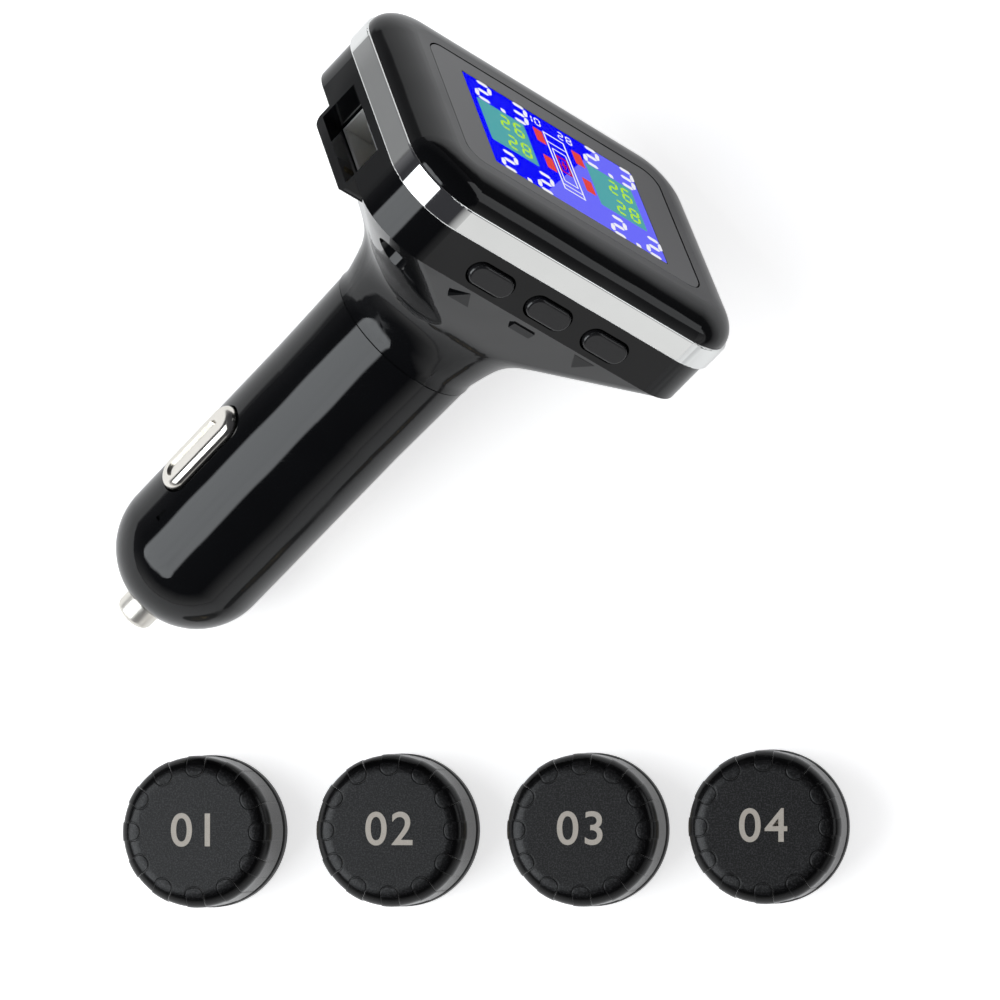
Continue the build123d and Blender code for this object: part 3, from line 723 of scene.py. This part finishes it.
class ScreenOperator(bpy.types.Operator):
    """Light the display panel and lay its picture under the window"""

    bl_idname = "pressure_monitor.screen"
    bl_label = "Screen"

    def execute(self, context):
        looks = context.scene.monitor_screen
        width, height = looks.width / MM, looks.height / MM
        dress(moulded("panel_dark", (0.01, 0.01, 0.013), 0.3, 0.2, 0.05), "lcd_panel")
        dress(window_glass("window_glass", (0.008, 0.008, 0.009), 0.06, width, height), "display_lens")
        place = DISPLAY @ Matrix.Translation(Vector((*SCREEN_CENTRE, SCREEN_LAYER_Z)) * MM)
        outline = rounded(-width / 2, -height / 2, width / 2, height / 2, 0.3)
        field = slabs_mesh("picture_field", [outline], *FIELD_LAYER, place)
        ground = lit_ground_with_painted_glare("light_field", looks.ground, looks.glow)
        new_piece("picture_field", field, ground, DISPLAY_BODY)
        for ink, outlines in screen_art().items():
            layer = BOX_LAYER if ink == "teal" else INK_LAYER
            mesh = slabs_mesh(f"picture_{ink}", outlines, *layer, place)
            light = lit_ink(f"light_{ink}", getattr(looks, ink))
            new_piece(f"picture_{ink}", mesh, light, DISPLAY_BODY)
        return {"FINISHED"}


class UsbContactsOperator(bpy.types.Operator):
    """Lay the four sprung contact strips under the USB tongue"""

    bl_idname = "pressure_monitor.usb_contacts"
    bl_label = "USB Contacts"

    def execute(self, context):
        gold = drawn_metal("contact_gold", (0.9, 0.66, 0.27), 0.14, DISPLAY.to_3x3() @ Vector(Y_WAY), 0.1)
        start, end = (TONGUE_MOUTH_X + reach for reach in CONTACT_REACH)
        low, high = (TONGUE_FACE_Z + layer for layer in CONTACT_LAYER)
        for i, y in enumerate(CONTACT_ROWS, 1):
            outline = rounded(start, y - CONTACT_HALF_W, end, y + CONTACT_HALF_W, 0.25)
            mesh = slabs_mesh("usb_contact", [outline], low, high, DISPLAY)
            new_piece(f"usb_contact_{i}", mesh, gold, DISPLAY_BODY)
        return {"FINISHED"}


class SensorsOperator(bpy.types.Operator):
    """Finish the sensors and etch plain numbers on their caps"""

    bl_idname = "pressure_monitor.sensors"
    bl_label = "Sensors"

    def execute(self, context):
        looks = context.scene.monitor_sensors
        ink = etched_ink("etched_figures", looks.ink)
        dress(satin_black("base_black", looks.black, 0.3, 0.2, 0.01), *each_sensor("sensor_base"))
        for n in SENSORS:
            low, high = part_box(f"sensor_cap_{n}")
            centre = Vector(((low.x + high.x) / 2, (low.y + high.y) / 2, high.z))
            dress(sensor_black(f"cap_black_{n}", looks.black, centre, high.z / MM), f"sensor_cap_{n}")
            place = Matrix.Translation(centre + Vector((0, 0, FIGURE_LIFT)))
            mesh = label_mesh(f"figures_{n}", f"0{n}", looks.figure_height, FIGURE_WEIGHT, place)
            figures = new_piece(f"figures_{n}", mesh, ink, f"sensor_cap_{n}")
            own_nodes = [node for name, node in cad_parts.items() if name.endswith(f"_{n}")]
            for piece in (figures, *own_nodes):
                piece.visible_glossy = False
        return {"FINISHED"}


def panel_lamp(name, power, size, place, width_way):
    """A flat white lamp that faces the object, with its width along a given direction."""
    lamp = bpy.data.lights.new(name, "AREA")
    lamp.shape, lamp.energy, lamp.color = "RECTANGLE", power, (0.96, 0.985, 1.0)
    lamp.size, lamp.size_y = size
    holder = bpy.data.objects.new(name, lamp)
    bpy.context.scene.collection.objects.link(holder)
    back = (Vector(place) - Vector(LAMP_TARGET)).normalized()
    across = (Vector(width_way) - back * back.dot(Vector(width_way))).normalized()
    turn = Matrix((across, back.cross(across), back)).transposed().to_4x4()
    holder.matrix_world = Matrix.Translation(place) @ turn
    return holder


def flagged(f, spot):
    """How far black flags darken the floor in reflections, with soft edges; places are in millimetres."""
    x, y = f.along(spot, X_WAY), f.along(spot, Y_WAY)
    left = (0 - x).above(50, 60) * y.above(75, 45) * 0.75
    right = x.above(92, 60) * y.above(-170, 90) * 0.93
    return left.most(right)


def paper_floor(colour):
    """White paper that keeps its shadows and shows as background to the camera and in reflections."""
    f = Finish("paper_floor")
    spot = f.place()
    grain = f.noise(spot, 1.2, 3.0)
    tone = f.mix(grain * 0.2, rgba(colour), shade(colour, 0.97))
    seen, mirrored, through = (f.light_path(ray) for ray in ("Camera", "Glossy", "Transmission"))
    matt = f.add("ShaderNodeBsdfDiffuse", None, {"Color": tone})
    glow = f.add("ShaderNodeEmission", None, {"Strength": seen.most(through) * 0.62 + mirrored * 0.22})
    both = f.add("ShaderNodeAddShader", None, {0: matt, 1: glow})
    dark = f.add("ShaderNodeBsdfDiffuse", None, {"Color": (0.02, 0.02, 0.022, 1)})
    paper = f.add("ShaderNodeMixShader", None, {0: flagged(f, spot) * mirrored, 1: both, 2: dark})
    f.add("ShaderNodeOutputMaterial", None, {"Surface": paper})
    return f.data


def softbox_face(holder, power):
    """The lamp's face as reflections show it: bright in the middle, fading at rounded edges."""
    half = SOFTBOX_SIZE / MM / 2
    outline = rounded(-half, -half, half, half, SOFTBOX_CORNER / MM, 8)
    mesh = slabs_mesh("softbox_face", [outline], -2, 0, holder.matrix_world)
    f = Finish("softbox_cloth")
    spot = f.place()
    ways = [holder.matrix_world.to_3x3() @ Vector(way) for way in (X_WAY, Y_WAY)]
    u, v = (abs(f.along(spot, way, way.dot(holder.location) / MM)) / half for way in ways)
    edge = (1 - u.above(0.86, 0.14)) * (1 - v.above(0.84, 0.16))
    cloth = f.noise(spot, 120, 2.0)
    tone = f.mix(edge * (0.8 + cloth * 0.4), (0.05, 0.05, 0.052, 1), (0.93, 0.97, 1.0, 1))
    glow = f.add("ShaderNodeEmission", None, {"Color": tone, "Strength": power / (pi * SOFTBOX_SIZE**2)})
    f.add("ShaderNodeOutputMaterial", None, {"Surface": glow})
    mesh.materials.append(f.data)
    face = bpy.data.objects.new("softbox_face", mesh)
    bpy.context.scene.collection.objects.link(face)
    face.visible_camera = face.visible_diffuse = face.visible_shadow = face.visible_transmission = False


def studio_world(world):
    """White at the horizon, grey overhead in reflections, and an even fill for everything else."""
    f = Finish("studio", world)
    way = f.add("ShaderNodeTexCoord", out="Generated")
    up = f.add("ShaderNodeSeparateXYZ", None, {0: way}, "Z")
    front = f.add("ShaderNodeSeparateXYZ", None, {0: way}, "Y")
    low = f.mix(front.above(-0.6, 0.6), (0.85, 0.85, 0.85, 1), (0.14, 0.14, 0.15, 1))
    sky = f.mix(up.above(0.04, 0.3), low, (0.04, 0.04, 0.045, 1))
    seen, mirrored, through = (f.light_path(ray) for ray in ("Camera", "Glossy", "Transmission"))
    fill = f.mix(mirrored, (0.42, 0.42, 0.43, 1), sky)
    tone = f.mix(seen.most(through), fill, (1, 1, 1, 1))
    back = f.add("ShaderNodeBackground", None, {"Color": tone, "Strength": 1.0})
    f.add("ShaderNodeOutputWorld", None, {"Surface": back})


class StudioOperator(bpy.types.Operator):
    """Set up the paper floor, lamps, world and camera"""

    bl_idname = "pressure_monitor.studio"
    bl_label = "Studio"

    def execute(self, context):
        looks = context.scene.monitor_studio
        scene = context.scene
        ground, half = CAD_BOX[0].z / MM - 0.01, PAPER_HALF / MM
        mesh = slabs_mesh("paper", [box_outline(-half, -half, half, half)], ground - 1, ground, Matrix())
        mesh.materials.append(paper_floor(looks.floor))
        paper = bpy.data.objects.new("paper", mesh)
        scene.collection.objects.link(paper)
        left = panel_lamp("left_panel", looks.left_power, **LEFT_PANEL)
        left.visible_glossy = False
        context.view_layer.update()
        softbox_face(left, looks.left_power * SOFTBOX_GAIN)
        panel_lamp("right_panel", looks.right_power, **RIGHT_PANEL)
        scene.world = scene.world or bpy.data.worlds.new("studio")
        studio_world(scene.world)
        lens = bpy.data.cameras.new("camera")
        lens.lens, lens.sensor_width, lens.clip_start, lens.clip_end = looks.focal, 36, 0.01, 20
        camera = bpy.data.objects.new("camera", lens)
        scene.collection.objects.link(camera)
        turn = Matrix(CAMERA_AXES).transposed().to_4x4()
        camera.matrix_world = Matrix.Translation(CAMERA_PLACE) @ turn
        scene.camera = camera
        scene.view_settings.view_transform = "Standard"
        return {"FINISHED"}


OPERATORS = (
    MouldingsOperator,
    MetalsOperator,
    ElectronicsOperator,
    ScreenOperator,
    UsbContactsOperator,
    SensorsOperator,
    StudioOperator,
)
SETTINGS = {
    "monitor_casing": CasingLooks,
    "monitor_screen": ScreenLooks,
    "monitor_sensors": SensorLooks,
    "monitor_studio": StudioLooks,
}


class MonitorPanel(bpy.types.Panel):
    """Steps that finish the pressure monitor"""

    bl_idname = "VIEW3D_PT_pressure_monitor"
    bl_label = "Pressure Monitor"
    bl_space_type = "VIEW_3D"
    bl_region_type = "UI"
    bl_category = "Pressure Monitor"

    def draw(self, context):
        for name, group in SETTINGS.items():
            box = self.layout.box()
            for key in group.__annotations__:
                box.prop(getattr(context.scene, name), key)
        for operator in OPERATORS:
            self.layout.operator(operator.bl_idname)


CLASSES = (*SETTINGS.values(), *OPERATORS, MonitorPanel)


def register():
    for item in CLASSES:
        bpy.utils.register_class(item)
    for name, group in SETTINGS.items():
        setattr(bpy.types.Scene, name, PointerProperty(type=group))


def unregister():
    for name in SETTINGS:
        delattr(bpy.types.Scene, name)
    for item in reversed(CLASSES):
        bpy.utils.unregister_class(item)


def main():
    register()
    bpy.ops.pressure_monitor.mouldings()
    bpy.ops.pressure_monitor.metals()
    bpy.ops.pressure_monitor.electronics()
    bpy.ops.pressure_monitor.screen()
    bpy.ops.pressure_monitor.usb_contacts()
    bpy.ops.pressure_monitor.sensors()
    bpy.ops.pressure_monitor.studio()


if __name__ == "__main__":
    main()
